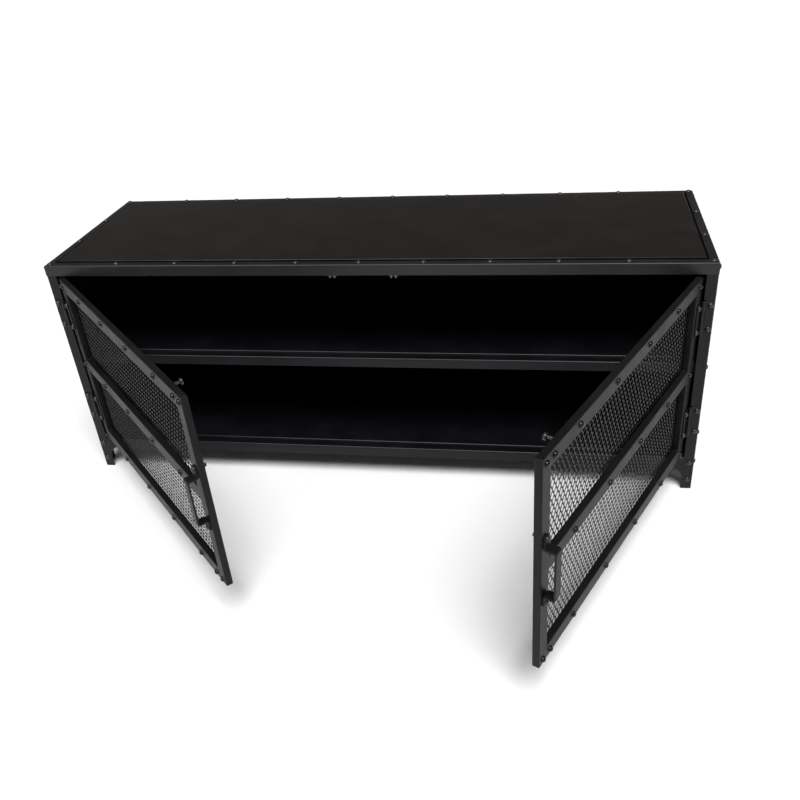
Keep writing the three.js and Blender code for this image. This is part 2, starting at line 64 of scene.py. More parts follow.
frame_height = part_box("top_panel")[0].z / mm
angle_wall = 2.5
angle_bend = 2.7  # outer radius of the fold
rail_face = 20.5
rail_flange = 25
sheared_edge = 0.35  # rounding that the coating leaves on a cut edge
smooth_angle = math.radians(50)
round_angle = math.radians(60)  # edges that turn more than this are rounded
handling_size = 62.5  # dust and handling marks vary over this distance
peel_size = 2.5  # orange peel is 1 to 2 mm across, and is drawn a little larger so that it shows


def at(place):
    """A place in the cabinet's millimetres as a place in the model's metres."""
    return (Vector(place) + front_shift) * mm


def own(place):
    """A place in the model's metres as a place in the cabinet's millimetres."""
    return place / mm - front_shift


def deselect():
    bpy.ops.object.select_all(action="DESELECT")


def pick(kind, test):
    """In edit mode, selects only the verts, edges or faces that pass a test of place and normal."""
    mode = {"verts": "VERT", "edges": "EDGE", "faces": "FACE"}[kind]
    bpy.ops.mesh.select_mode(type=mode)
    bpy.ops.mesh.select_all(action="DESELECT")
    mesh = bmesh.from_edit_mesh(bpy.context.object.data)
    for element in getattr(mesh, kind):
        ends = [element.co] if kind == "verts" else [vertex.co for vertex in element.verts]
        middle = own(sum(ends, Vector()) / len(ends))
        normal = element.normal if kind == "faces" else Vector()
        if test(middle, normal):
            element.select_set(True)
    mesh.select_flush_mode()
    bmesh.update_edit_mesh(bpy.context.object.data)


def apply_place(piece):
    """Moves a piece's place, turn and scale into its mesh."""
    deselect()
    piece.select_set(True)
    bpy.context.view_layer.objects.active = piece
    bpy.ops.object.transform_apply(location=True, rotation=True, scale=True)


def add_block(name, low, high):
    """A cube primitive between two opposite corners."""
    low, high = Vector(low), Vector(high)
    deselect()
    bpy.ops.mesh.primitive_cube_add(size=1, location=at((low + high) / 2))
    block = bpy.context.object
    block.name = name
    block.scale = (high - low) * mm
    apply_place(block)
    return block


def apply_modifier(piece, kind, **settings):
    """Adds a modifier of a kind with its settings, and applies it at once."""
    modifier = piece.modifiers.new(kind.title(), kind)
    for setting, value in settings.items():
        setattr(modifier, setting, value)
    bpy.context.view_layer.objects.active = piece
    bpy.ops.object.modifier_apply(modifier=modifier.name)


def give_wall(piece, thickness):
    """Thickens a folded skin inwards from its outer face."""
    apply_modifier(piece, "SOLIDIFY", thickness=thickness * mm, offset=-1, use_even_offset=True)


def soften(piece, rounding=sheared_edge):
    """Rounds the sharp edges, and shades the rounds smooth and the flats flat."""
    apply_modifier(
        piece, "BEVEL", width=rounding * mm, segments=2, limit_method="ANGLE", angle_limit=round_angle
    )
    deselect()
    piece.select_set(True)
    bpy.context.view_layer.objects.active = piece
    bpy.ops.object.shade_smooth_by_angle(angle=smooth_angle)
    apply_modifier(piece, "WEIGHTED_NORMAL", keep_sharp=True)


def srgb(colour):
    """An sRGB hex colour as linear numbers."""
    parts = [int(colour[i : i + 2], 16) / 255 for i in (1, 3, 5)]
    return [part / 12.92 if part <= 0.04045 else ((part + 0.055) / 1.055) ** 2.4 for part in parts] + [1]


def add_node(tree, kind, inputs):
    """Adds a node. Each of its inputs is a value or another node's output."""
    node = tree.nodes.new(kind)
    for socket, value in inputs.items():
        if isinstance(value, bpy.types.NodeSocket):
            tree.links.new(value, node.inputs[socket])
        else:
            node.inputs[socket].default_value = value
    return node


def powder_coat(name, dark, light, smooth, rough, peel_height, ior=1.5):
    """Polyester powder coat, sprayed and baked: satin, with a fine orange peel that breaks up its
    reflections, and a faint unevenness of dust and handling."""
    material = bpy.data.materials.new(name)
    material.use_nodes = True
    tree = material.node_tree
    shader = tree.nodes["Principled BSDF"]
    place = add_node(tree, "ShaderNodeTexCoord", {}).outputs["Object"]
    handling = add_node(
        tree,
        "ShaderNodeTexNoise",
        {"Vector": place, "Scale": 1 / (handling_size * mm), "Detail": 6, "Roughness": 0.62},
    ).outputs["Fac"]
    # The noise mostly stays between 0.35 and 0.7, so the tone and the sheen change over that range.
    tone = add_node(tree, "ShaderNodeValToRGB", {"Fac": handling})
    tone.color_ramp.elements[0].position = 0.38
    tone.color_ramp.elements[0].color = srgb(dark)
    tone.color_ramp.elements[1].position = 0.68
    tone.color_ramp.elements[1].color = srgb(light)
    sheen = add_node(
        tree,
        "ShaderNodeMapRange",
        {"Value": handling, "From Min": 0.35, "From Max": 0.7, "To Min": smooth, "To Max": rough},
    )
    peel = add_node(
        tree, "ShaderNodeTexNoise", {"Vector": place, "Scale": 1 / (peel_size * mm), "Detail": 2}
    )
    bump = add_node(
        tree,
        "ShaderNodeBump",
        {"Height": peel.outputs["Fac"], "Strength": 0.35, "Distance": peel_height * mm},
    )
    tree.links.new(tone.outputs["Color"], shader.inputs["Base Color"])
    tree.links.new(sheen.outputs["Result"], shader.inputs["Roughness"])
    tree.links.new(bump.outputs["Normal"], shader.inputs["Normal"])
    shader.inputs["IOR"].default_value = ior
    return material


satin_black = powder_coat("satin_black_powder_coat", "#101012", "#18181a", 0.38, 0.46, 0.12, ior=1.46)


def paint(piece, material):
    """Gives a piece one material."""
    piece.data.materials.clear()
    piece.data.materials.append(material)


dome_foot = 0.04  # a rivet's dome starts at this share of its height
rim_share = 0.12  # and the upright rim below it is this share


def model_rivet(name, radius, height):
    """A snap-head rivet: a low dome with a small upright rim, standing on Z = 0."""
    deselect()
    bpy.ops.mesh.primitive_uv_sphere_add(segments=20, ring_count=12, radius=radius * mm)
    head = bpy.context.object
    head.name = name
    head.scale.z = height / radius
    apply_place(head)
    bpy.ops.object.mode_set(mode="EDIT")
    bpy.ops.mesh.select_all(action="SELECT")
    bpy.ops.mesh.bisect(
        plane_co=(0, 0, height * mm * dome_foot), plane_no=(0, 0, 1), clear_inner=True, use_fill=True
    )
    pick("faces", lambda middle, normal: normal.z < -facing)
    bpy.ops.mesh.extrude_region_move(TRANSFORM_OT_translate={"value": (0, 0, -height * mm * rim_share)})
    bpy.ops.object.mode_set(mode="OBJECT")
    bpy.ops.object.shade_smooth_by_angle(angle=smooth_angle)
    return head


def set_rivets(piece, rivet, places, outward):
    """Drives a copy of a rivet at each place, its head standing outwards, and joins them to the piece."""
    turn = Vector(outward).to_track_quat("Z", "Y")
    heads = []
    for place in places:
        head = rivet.copy()
        head.data = rivet.data.copy()
        head.data.transform(Matrix.Translation(at(place)) @ turn.to_matrix().to_4x4())
        bpy.context.collection.objects.link(head)
        heads.append(head)
    deselect()
    for head in heads:
        head.select_set(True)
    piece.select_set(True)
    bpy.context.view_layer.objects.active = piece
    bpy.ops.object.join()


def fit(piece, body, slot, *nodes):
    """Fixes a finished piece to its body, in place of the plain solids that it stands for."""
    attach(piece, body)
    if nodes:
        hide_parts(*nodes)


right = Vector((1, 0, 0))
left = -right
behind = Vector((0, 1, 0))
ahead = -behind
up = Vector((0, 0, 1))

# Setting smooths the rivets' heads, so the coat on them shines more than on the plate beside them.
glossy_black = powder_coat("rivet_head_powder_coat", "#0e0e0f", "#161617", 0.34, 0.42, 0.03, ior=1.6)
rivet_radius = 5
frame_rivet_height = 3.4
frame_rivet = model_rivet("frame_rivet", rivet_radius, frame_rivet_height)
paint(frame_rivet, glossy_black)
rivet_edge = 9  # rivet centre to the outer face
flange_rivet_pitch = 114.4
flange_rivets = [i * flange_rivet_pitch for i in range(-4, 5)]  # nine about the middle
corner_rivets = [-half_width + rivet_edge, half_width - rivet_edge]
side_rivet_spaces = 3
side_rivet_rows = [
    rivet_edge + (depth - 2 * rivet_edge) * i / side_rivet_spaces for i in range(1, side_rivet_spaces)
]

top_frame = add_block(
    "top_frame", (-half_width, 0, frame_height - rail_face), (half_width, depth, frame_height)
)
bpy.ops.object.mode_set(mode="EDIT")
pick("faces", lambda middle, normal: normal.z < -facing)
bpy.ops.mesh.delete(type="FACE")
pick("faces", lambda middle, normal: normal.z > facing)
bpy.ops.mesh.inset(thickness=rail_flange * mm)
bpy.ops.mesh.delete(type="FACE")
pick(
    "edges",
    lambda middle, normal: middle.z > frame_height - touch
    and (abs(middle.x) > half_width - touch or min(middle.y, depth - middle.y) < touch),
)
bpy.ops.mesh.bevel(offset=angle_bend * mm, segments=4, affect="EDGES")
bpy.ops.object.mode_set(mode="OBJECT")
give_wall(top_frame, angle_wall)
soften(top_frame)
paint(top_frame, satin_black)
set_rivets(
    top_frame,
    frame_rivet,
    [
        (x, y, frame_height)
        for y in (rivet_edge, depth - rivet_edge)
        for x in flange_rivets + corner_rivets
    ]
    + [(x, y, frame_height) for x in corner_rivets for y in side_rivet_rows],
    up,
)
for side, outward in ((-1, left), (1, right)):
    set_rivets(
        top_frame,
        frame_rivet,
        [
            (side * half_width, y, frame_height - rail_face / 2)
            for y in (rivet_edge, depth - rivet_edge)
        ],
        outward,
    )
top_rails = [f"top_{edge}_rail" for edge in ("front", "back", "left", "right")]
fit(top_frame, "cabinet", "coated_frame", *top_rails)

# ---------------------------------------------------------------- corner posts and feet
# Each post is folded steel angle that runs down into a foot. A quarter-round web, cut from plate of
# the same thickness, stiffens each side of the foot under the bottom rail. Rivets on both legs.
post_leg = 19
post_top = frame_height - rail_face
foot_height = 49.5
foot_arc = 27
foot_side_width = 36  # below the rails the side leg is made this wide
leg_rivet_heights = (260, 124, 59)
foot_rivet_heights = (59, 21)
# A darker copy of the satin black, which is painted shade. The posts, the bottom and shelf rails and the
# plates and panels inside take it, as they lie lower or deeper in the cabinet's shade. The hinge leaves
# take it to match the posts.
shade_dark_black = powder_coat("carcass_coat_painted_shade", "#08080c", "#0e0e13", 0.34, 0.42, 0.1, ior=1.34)


def fold_strip(name, path, outward, width, bends):
    """Folds the outer face of a strip of plate along a path of points, one radius a fold. outward is
    where that face looks on the first run."""
    path = [Vector(place) for place in path]
    run = path[1] - path[0]
    across = run.normalized().cross(outward)
    turn = Matrix((across, run.normalized(), outward)).transposed().to_euler()
    deselect()
    bpy.ops.mesh.primitive_plane_add(size=1, location=at((path[0] + path[1]) / 2), rotation=turn)
    strip = bpy.context.object
    strip.name = name
    strip.scale = (width * mm, run.length * mm, 1)
    apply_place(strip)
    bpy.ops.object.mode_set(mode="EDIT")
    for place, after in zip(path[1:], path[2:]):
        pick("edges", lambda middle, normal: (middle - place).length < touch)
        bpy.ops.mesh.extrude_region_move(TRANSFORM_OT_translate={"value": (after - place) * mm})
    for fold, bend in zip(path[1:-1], bends):
        pick("edges", lambda middle, normal: (middle - fold).length < touch)
        bpy.ops.mesh.bevel(offset=bend * mm, segments=4, affect="EDGES")
    bpy.ops.object.mode_set(mode="OBJECT")
    return strip


def cut_web(name, corner, inward, outward):
    """The plate web beside a foot: what a quarter circle leaves of a square under the bottom rail.
    corner is where the leg's edge meets the rail, and inward the way from the leg along the rail."""
    centre = Vector(corner) + inward * foot_arc - up * foot_arc
    deselect()
    turn = Matrix((inward, up, inward.cross(up))).transposed().to_euler()
    bpy.ops.mesh.primitive_circle_add(
        vertices=48, radius=foot_arc * mm, fill_type="NOTHING", location=at(centre), rotation=turn
    )
    web = bpy.context.object
    web.name = name
    apply_place(web)
    bpy.ops.object.mode_set(mode="EDIT")
    pick(
        "verts",
        lambda middle, normal: (middle - centre).dot(inward) > touch or (middle - centre).z < -touch,
    )
    bpy.ops.mesh.delete(type="VERT")
    pick("verts", lambda middle, normal: middle.z > foot_height - touch)
    bpy.ops.mesh.extrude_region_move(TRANSFORM_OT_translate={"value": -inward * foot_arc * mm})
    bpy.ops.mesh.select_all(action="SELECT")
    bpy.ops.mesh.edge_face_add()
    pick("faces", lambda middle, normal: normal.dot(outward) < 0)
    bpy.ops.mesh.flip_normals()
    bpy.ops.object.mode_set(mode="OBJECT")
    give_wall(web, angle_wall)
    return web


def corners(one, other):
    """The lowest and highest corners of the box that two places span."""
    return Vector(map(min, one, other)), Vector(map(max, one, other))


def join(name, *pieces):
    """Joins pieces into the first of them, under a new name."""
    deselect()
    for piece in pieces:
        piece.select_set(True)
    bpy.context.view_layer.objects.active = pieces[0]
    bpy.ops.object.join()
    pieces[0].name = name
    return pieces[0]


for row, face, inward in (("front", 0, behind), ("back", depth, ahead)):
    for side_name, side in (("left", -1), ("right", 1)):
        outward = right * side
        corner = Vector((side * half_width, face, post_top / 2))
        post = fold_strip(
            f"{row}_{side_name}_post_angle",
            [corner - outward * post_leg, corner, corner + inward * post_leg],
            -inward,
            post_top,
            [angle_bend],
        )
        give_wall(post, angle_wall)
        foot_side = Vector((side * half_width, face, foot_height)) + inward * foot_side_width
        plates = [
            cut_web("front_web", (side * (half_width - post_leg), face, foot_height), -outward, -inward),
            cut_web("side_web", foot_side, inward, outward),
            add_block(
                "foot_side_plate",
                *corners(
                    (side * half_width, face + inward.y * post_leg, 0),
                    foot_side - outward * angle_wall,
                ),
            ),
        ]
        post = join(f"{row}_{side_name}_post_folded", post, *plates)
        soften(post)
        # Painted shade: the posts take the darker black.
        paint(post, shade_dark_black)
        set_rivets(
            post,
            frame_rivet,
            [(side * half_width, face + inward.y * rivet_edge, z) for z in leg_rivet_heights],
            outward,
        )
        set_rivets(
            post,
            frame_rivet,
            [(side * (half_width - rivet_edge), face, z) for z in foot_rivet_heights],
            -inward,
        )
        fit(post, "cabinet", "coated_frame", f"{row}_{side_name}_post")

# ---------------------------------------------------------------- bottom and shelf rails
# Lengths of the same folded angle: the bottom ones are welded between the posts, flush with them,
# and the shelf's stand on the inside, set back behind the closed doors.
bottom_top = foot_height + rail_face
opening_half = half_width - post_leg
side_sheet = 1.5  # the back and side panels, which stand against the angle's inside
inside_half = half_width - angle_wall - side_sheet
inside_back = depth - angle_wall - side_sheet
shelf_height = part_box("shelf_panel")[0].z / mm
shelf_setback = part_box("shelf_panel")[0].y / mm - cabinet_front - panel_front_margin
shelf_rail_face = 19
corner_gusset = 14  # the bottom rails' flanges run on this far behind the posts' front legs


def add_rail(name, middle, outward, length, face, tongue=0):
    """A length of angle whose face looks outwards. middle is on its arris, half way along, and tongue
    is how far its flange runs on past its face at both ends."""
    middle = Vector(middle)
    rail = fold_strip(
        name,
        [middle - up * face, middle, middle - outward * rail_flange],
        outward,
        length,
        [angle_bend],
    )
    if tongue:
        bpy.ops.object.mode_set(mode="EDIT")
        for way in (left, right):
            end = middle + way * length / 2 - outward * (angle_bend + rail_flange) / 2
            pick("edges", lambda place, normal: (place - end).length < angle_bend)
            bpy.ops.mesh.extrude_region_move(TRANSFORM_OT_translate={"value": way * tongue * mm})
        bpy.ops.object.mode_set(mode="OBJECT")
    give_wall(rail, angle_wall)
    soften(rail)
    # Painted shade: the rails take the darker black.
    paint(rail, shade_dark_black)
    fit(rail, "cabinet", "coated_frame", name.removesuffix("_angle"))


for row, outward, face in (("front", ahead, 0), ("back", behind, depth)):
    arris = (0, face, bottom_top)
    add_rail(f"bottom_{row}_rail_angle", arris, outward, 2 * opening_half, rail_face, corner_gusset)
for row, outward, face in (("front", ahead, shelf_setback), ("back", behind, inside_back)):
    arris = (0, face, shelf_height)
    add_rail(f"shelf_{row}_rail_angle", arris, outward, 2 * inside_half, shelf_rail_face)
bottom_side_length = depth - 2 * rail_flange
shelf_side_length = inside_back - shelf_setback - 2 * rail_flange
for side_name, outward in (("left", left), ("right", right)):
    add_rail(
        f"bottom_{side_name}_rail_angle",
        outward * half_width + behind * depth / 2 + up * bottom_top,
        outward,
        bottom_side_length,
        rail_face,
    )
    add_rail(
        f"shelf_{side_name}_rail_angle",
        outward * inside_half + behind * (shelf_setback + inside_back) / 2 + up * shelf_height,
        outward,
        shelf_side_length,
        shelf_rail_face,
    )

# ---------------------------------------------------------------- top, shelf and bottom panels
# Plates of 2.5 mm steel laid on the frames' flanges, their edges dressed round before coating. The coat on
# the top is a little duller and warmer than on the angle, and inside the plates take the darker black that
# is painted shade.
warm_black = powder_coat("top_plate_powder_coat", "#15120f", "#1b1814", 0.28, 0.34, 0.1, ior=1.32)
plate_edge = 2.3
sheet_edge = 0.2
for node, coat in (("top_panel", warm_black), ("shelf_panel", shade_dark_black), ("bottom_panel", shade_dark_black)):
    low, high = [own(corner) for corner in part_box(node)]
    panel = add_block(f"{node}_plate", low, high)
    bpy.ops.object.mode_set(mode="EDIT")
    pick("edges", lambda middle, normal: middle.z > high.z - touch)
    bpy.ops.mesh.bevel(offset=plate_edge * mm, segments=3, affect="EDGES")
    bpy.ops.object.mode_set(mode="OBJECT")
    soften(panel, sheet_edge)
    paint(panel, coat)
    fit(panel, "cabinet", "coated_sheet", node)

# Painted shadow: a thin, flat, near-black strip laid on the flange round the top plate's edge stands for
# the dark shade line beside the plate.
shadow_line_width = 4
shadow_line_height = 0.5
shadow_line_black = powder_coat("shadow_line_black", "#020202", "#040404", 0.85, 0.95, 0.05, ior=1.1)
low, high = [own(corner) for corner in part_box("top_panel")]
spread = Vector((shadow_line_width, shadow_line_width, 0))
shadow_strip_top = Vector((high.x, high.y, low.z + shadow_line_height))
shadow_strip = add_block("top_painted_shadow_strip", low - spread, shadow_strip_top + spread)
soften(shadow_strip, sheet_edge)
paint(shadow_strip, shadow_line_black)
fit(shadow_strip, "cabinet", "coated_sheet")

# ---------------------------------------------------------------- back and side panels
# Flat 1.5 mm sheet that stands against the inside of the frame, coated in the darker black that is painted
# shade for the inside of the cabinet. A plain sheet is all there is to their shape, so the solids' own is
# kept.
for node in ("back_panel", "left_side_panel", "right_side_panel"):
    paint(frame["nodes"][node], shade_dark_black)

# ---------------------------------------------------------------- magnetic catches
# Under the top rail's flange hangs a folded steel bracket with a plastic magnet case, and two steel
# pole plates stand out of the case to meet the strike on the closed door.
catch_from_middle = 56
catch_width = 20
catch_front = 26.1  # front face of the poles
catch_plate = 2
catch_tab_front = 11
pole_low = 421
pole_high = 436
pole_width = 4.2
pole_spacing = 8.2
pole_proud = 2  # the poles stand this far out of the case
case_depth = 12
case_rise = 2  # the case's underside above the poles' lower ends
case_edge = 1
pole_edge = 0.6
case_front = catch_front + pole_proud
bracket_back = case_front + case_depth + catch_plate
bracket_bend = 2.3
flange_underside = frame_height - angle_wall
cloud_scale = 380  # plating clouds in a metre, each 2 to 3 mm across


def plated_steel(name, dark, light, roughness):
    """Zinc-plated or blackened steel: metallic, with the soft cloudiness of a barrel-plated skin."""
    material = bpy.data.materials.new(name)
    material.use_nodes = True
    tree = material.node_tree
    shader = tree.nodes["Principled BSDF"]
    place = add_node(tree, "ShaderNodeTexCoord", {}).outputs["Object"]
    cloud = add_node(
        tree, "ShaderNodeTexNoise", {"Vector": place, "Scale": cloud_scale, "Detail": 3}
    ).outputs["Fac"]
    tone = add_node(tree, "ShaderNodeValToRGB", {"Fac": cloud})
    tone.color_ramp.elements[0].position = 0.35
    tone.color_ramp.elements[0].color = srgb(dark)
    tone.color_ramp.elements[1].position = 0.7
    tone.color_ramp.elements[1].color = srgb(light)
    tree.links.new(tone.outputs["Color"], shader.inputs["Base Color"])
    shader.inputs["Metallic"].default_value = 1
    shader.inputs["Roughness"].default_value = roughness
    return material


bright_zinc = plated_steel("bright_zinc_plate", "#5a5b5c", "#7a7b7b", 0.42)
black_oxide = plated_steel("black_oxide_steel", "#3a3a3b", "#575758", 0.42)
moulded_plastic = powder_coat("moulded_black_plastic", "#101010", "#171717", 0.5, 0.6, 0.05)

for side_name, side in (("left", -1), ("right", 1)):
    middle = side * catch_from_middle
    bracket = fold_strip(
        f"{side_name}_catch_bracket",
        [
            (middle, catch_tab_front, flange_underside),
            (middle, bracket_back, flange_underside),
            (middle, bracket_back, pole_low),
        ],
        up,
        catch_width,
        [bracket_bend],
    )
    give_wall(bracket, catch_plate)
    soften(bracket)
    paint(bracket, satin_black)
    case = add_block(
        f"{side_name}_catch_case",
        (middle - catch_width / 2, case_front, pole_low + case_rise),
        (middle + catch_width / 2, bracket_back - catch_plate, pole_high),
    )
    soften(case, case_edge)
    paint(case, moulded_plastic)
    catch = join(f"{side_name}_catch_body", bracket, case)
    poles = []
    for hand in (-1, 1):
        pole_middle = middle + hand * pole_spacing / 2
        pole = add_block(
            "pole",
            (pole_middle - pole_width / 2, catch_front, pole_low),
            (pole_middle + pole_width / 2, bracket_back - catch_plate, pole_high),
        )
        soften(pole, pole_edge)
        paint(pole, bright_zinc)
        poles.append(pole)
    pole_pair = join(f"{side_name}_catch_poles", *poles)
    fit(catch, "cabinet", "blackened_hardware", f"{side_name}_catch")
    fit(pole_pair, "cabinet", "blackened_hardware")

# ---------------------------------------------------------------- door frames
# Rectangular steel tube, 24 by 11.5 mm, welded into a frame with a middle rail and riveted along its
# face. A door is drawn shut and then swung open on its hinge pins.
tube_width = 24
tube_depth = 11.5
tube_corner = 1.7
door_side_gap = 2
door_centre_gap = 4
door_bottom_gap = 9
door_top_gap = 3
hinge_x = opening_half - door_side_gap / 2  # the pins' axis is in the middle of the gap
hinge_proud = 4.6  # and stands this far ahead of the front face
door_hinge_edge = door_side_gap / 2  # distances along a door run from the pins' axis
door_free_edge = hinge_x - door_centre_gap / 2
door_bottom = bottom_top + door_bottom_gap
door_top = post_top - door_top_gap
door_middle = (door_bottom + door_top) / 2
top_rail_z = door_top - tube_width / 2
bottom_rail_z = door_bottom + tube_width / 2
weld_gap = 0.3  # between a door's frame and what is fixed to it
door_rivet_pitch = 118.7
rivet_drop = 3.5  # the lower two rails' rivets sit this far below their middles
door_rivets = 4  # in a row along each rail
last_rivet_inset = 34  # the top and bottom rails have one more, this far from the door's free edge
door_rivet_starts = {
    "left": {"top": 112, "mid": 125, "bottom": 128},
    "right": {"top": 115, "mid": 118, "bottom": 112},
}
rail_heights = {"top": top_rail_z, "mid": door_middle, "bottom": bottom_rail_z}
door_joints = {joint["child"]: joint for joint in frame["joints"]}


def on_door(side, along, out, height):
    """A place on a shut door: along it from the pins, behind its outer face, and above the floor."""
    return Vector((side * (hinge_x - along), out, height))


def swing(piece, door):
    """Turns a piece of a shut door about the pins, as far as the door stands open."""
    joint = door_joints[door]
    pin = Vector(joint["pos_m"])
    opening = Matrix.Rotation(math.radians(-joint["range_deg"][0]), 4, Vector(joint["axis"]))
    piece.matrix_world = Matrix.Translation(pin) @ opening @ Matrix.Translation(-pin)
    apply_place(piece)


def weld_door(name, side):
    """The welded frame of a shut door: one slab marked out into tubes, its two openings cut through
    and every edge rolled round. The ends of the tubes are capped and ground flush."""
    low, high = corners(
        on_door(side, door_hinge_edge, 0, door_bottom),
        on_door(side, door_free_edge, tube_depth, door_top),
    )
    welded = add_block(name, low, high)
    openings = [
        (low.z + tube_width, door_middle - tube_width / 2),
        (door_middle + tube_width / 2, high.z - tube_width),
    ]
    bpy.ops.object.mode_set(mode="EDIT")
    marks = [(Vector((x, 0, 0)), right) for x in (low.x + tube_width, high.x - tube_width)]
    marks += [(Vector((0, 0, z)), up) for opening in openings for z in opening]
    for mark, across in marks:
        bpy.ops.mesh.select_all(action="SELECT")
        bpy.ops.mesh.bisect(plane_co=at(mark), plane_no=across)
    for bottom, top in openings:
        pick(
            "faces",
            lambda middle, normal: low.x + tube_width < middle.x < high.x - tube_width
            and bottom < middle.z < top
            and abs(normal.y) > facing,
        )
        bpy.ops.mesh.bridge_edge_loops()
    bpy.ops.mesh.select_all(action="SELECT")
    bpy.ops.mesh.dissolve_limited(angle_limit=math.radians(1))
    bpy.ops.mesh.select_all(action="DESELECT")
    bpy.ops.mesh.edges_select_sharp(sharpness=smooth_angle)
    bpy.ops.mesh.bevel(offset=tube_corner * mm, segments=3, affect="EDGES")
    bpy.ops.object.mode_set(mode="OBJECT")
    return welded


# The doors were coated in another batch, a little duller than the cabinet.
dull_black = powder_coat("door_powder_coat", "#0e0e0e", "#161614", 0.44, 0.52, 0.12, ior=1.27)

# Their rivets are coated a deeper black than the door, which is painted shade that makes the domes read
# dark, and they stand a little taller than the cabinet's.
shaded_rivet_black = powder_coat("door_rivet_coat_painted_shade", "#030303", "#060606", 0.26, 0.32, 0.03, ior=1.42)
door_rivet_height = 4.2
door_rivet = model_rivet("door_rivet", rivet_radius, door_rivet_height)
paint(door_rivet, shaded_rivet_black)

for side_name, side in (("left", -1), ("right", 1)):
    door = f"{side_name}_door"
    welded = weld_door(f"{door}_welded_tubes", side)
    soften(welded)
    paint(welded, dull_black)
    rivet_places = [
        on_door(side, start + tube_width / 2, 0, height)
        for start, heights in (
            (door_hinge_edge, (bottom_rail_z - rivet_drop, door_middle, top_rail_z)),
            (door_free_edge - tube_width, (bottom_rail_z - rivet_drop, top_rail_z)),
        )
        for height in heights
    ]
    for rail_name, height in rail_heights.items():
        first = door_rivet_starts[side_name][rail_name]
        distances = [first + i * door_rivet_pitch for i in range(door_rivets)]
        if rail_name != "mid":
            distances.append(door_free_edge - last_rivet_inset)
        rivet_z = height if rail_name == "top" else height - rivet_drop
        rivet_places += [on_door(side, distance, 0, rivet_z) for distance in distances]
    set_rivets(welded, door_rivet, rivet_places, ahead)
    swing(welded, door)
    tubes = [f"{door}_{edge}_stile" for edge in ("hinge", "free")]
    tubes += [f"{door}_{rail_name}_rail" for rail_name in rail_heights]
    fit(welded, door, "coated_frame", *tubes)

# ---------------------------------------------------------------- expanded metal in the doors
# Expanded steel behind each frame: thin sheet slit in rows, pulled open sideways and rolled nearly
# flat. A diamond is 20.6 mm high and 10.6 mm wide, and its strands keep a little tilt.
diamond_width = 10.6
diamond_height = 20.6
strand_half = 1.6
bond_half = 2.2  # half the flat run at each side of an opening, along its edges
strand_tilt = 0.9  # how far a strand's edges stand ahead of and behind its middle
mesh_thickness = 0.4
mesh_lap = 6
mesh_middle = tube_depth + weld_gap + strand_tilt + mesh_thickness / 2
black_strand = powder_coat("expanded_metal_powder_coat", "#121213", "#1d1d1e", 0.3, 0.38, 0.05)


def expand_metal(name, low, high, side):
    """A sheet of expanded metal that fills the upright rectangle between two corners. Its strands
    tilt so that each one's edge towards the door's free side stands ahead."""
    low, high = corners(low, high)
    middle = Vector(((low.x + high.x) / 2, mesh_middle, (low.z + high.z) / 2))
    deselect()
    bpy.ops.mesh.primitive_circle_add(
        vertices=4, radius=1, fill_type="NGON", location=at(middle), rotation=(math.pi / 2, 0, 0)
    )
    sheet = bpy.context.object
    sheet.name = name
    sheet.scale = (diamond_width / 2 * mm, diamond_height / 2 * mm, 1)
    apply_place(sheet)
    bpy.ops.object.mode_set(mode="EDIT")
    bpy.ops.mesh.select_all(action="SELECT")
    bpy.ops.mesh.inset(thickness=strand_half * mm)
    pick(
        "verts",
        lambda place, normal: touch < abs(place.x - middle.x) < diamond_width / 2 - touch
        and abs(place.z - middle.z) < touch,
    )
    bpy.ops.mesh.bevel(offset=bond_half * mm, segments=1, affect="VERTICES")
    for hand in (-1, 1):
        pick(
            "verts",
            lambda place, normal: touch < hand * (place.x - middle.x) < diamond_width / 2 - touch
            and touch < abs(place.z - middle.z) < bond_half,
        )
        bpy.ops.transform.translate(value=ahead * hand * side * strand_tilt * mm)
    pick("faces", lambda place, normal: (place - middle).length < diamond_width / 8)
    bpy.ops.mesh.delete(type="FACE")
    bpy.ops.mesh.select_all(action="SELECT")
    bpy.ops.mesh.duplicate_move(
        TRANSFORM_OT_translate={"value": Vector((diamond_width, 0, diamond_height)) / 2 * mm}
    )
    bpy.ops.object.mode_set(mode="OBJECT")
    columns = math.ceil((high.x - low.x) / diamond_width) + 2
    rows = math.ceil((high.z - low.z) / diamond_height) + 2
    for count, step in ((columns, right * diamond_width), (rows, up * diamond_height)):
        apply_modifier(
            sheet,
            "ARRAY",
            count=count,
            use_relative_offset=False,
            use_constant_offset=True,
            constant_offset_displace=step * mm,
            use_merge_vertices=True,
            merge_threshold=touch * mm,
        )
    whole = Vector(((columns - 1) * diamond_width, 0, (rows - 1) * diamond_height)) / 2
    sheet.location = -whole * mm
    apply_place(sheet)
    bpy.ops.object.mode_set(mode="EDIT")
    for edge, outward in ((low, left), (high, right), (low, -up), (high, up)):
        bpy.ops.mesh.select_all(action="SELECT")
        bpy.ops.mesh.bisect(plane_co=at(edge), plane_no=outward, clear_outer=True)
    bpy.ops.object.mode_set(mode="OBJECT")
    apply_modifier(sheet, "SOLIDIFY", thickness=mesh_thickness * mm, offset=0)
    return sheet


for side_name, side in (("left", -1), ("right", 1)):
    door = f"{side_name}_door"
    sheet = expand_metal(
        f"{door}_expanded_metal",
        on_door(side, door_hinge_edge + tube_width - mesh_lap, 0, door_bottom + tube_width - mesh_lap),
        on_door(side, door_free_edge - tube_width + mesh_lap, 0, door_top - tube_width + mesh_lap),
        side,
    )
    paint(sheet, black_strand)
    swing(sheet, door)
    fit(sheet, door, "expanded_metal", f"{door}_mesh")

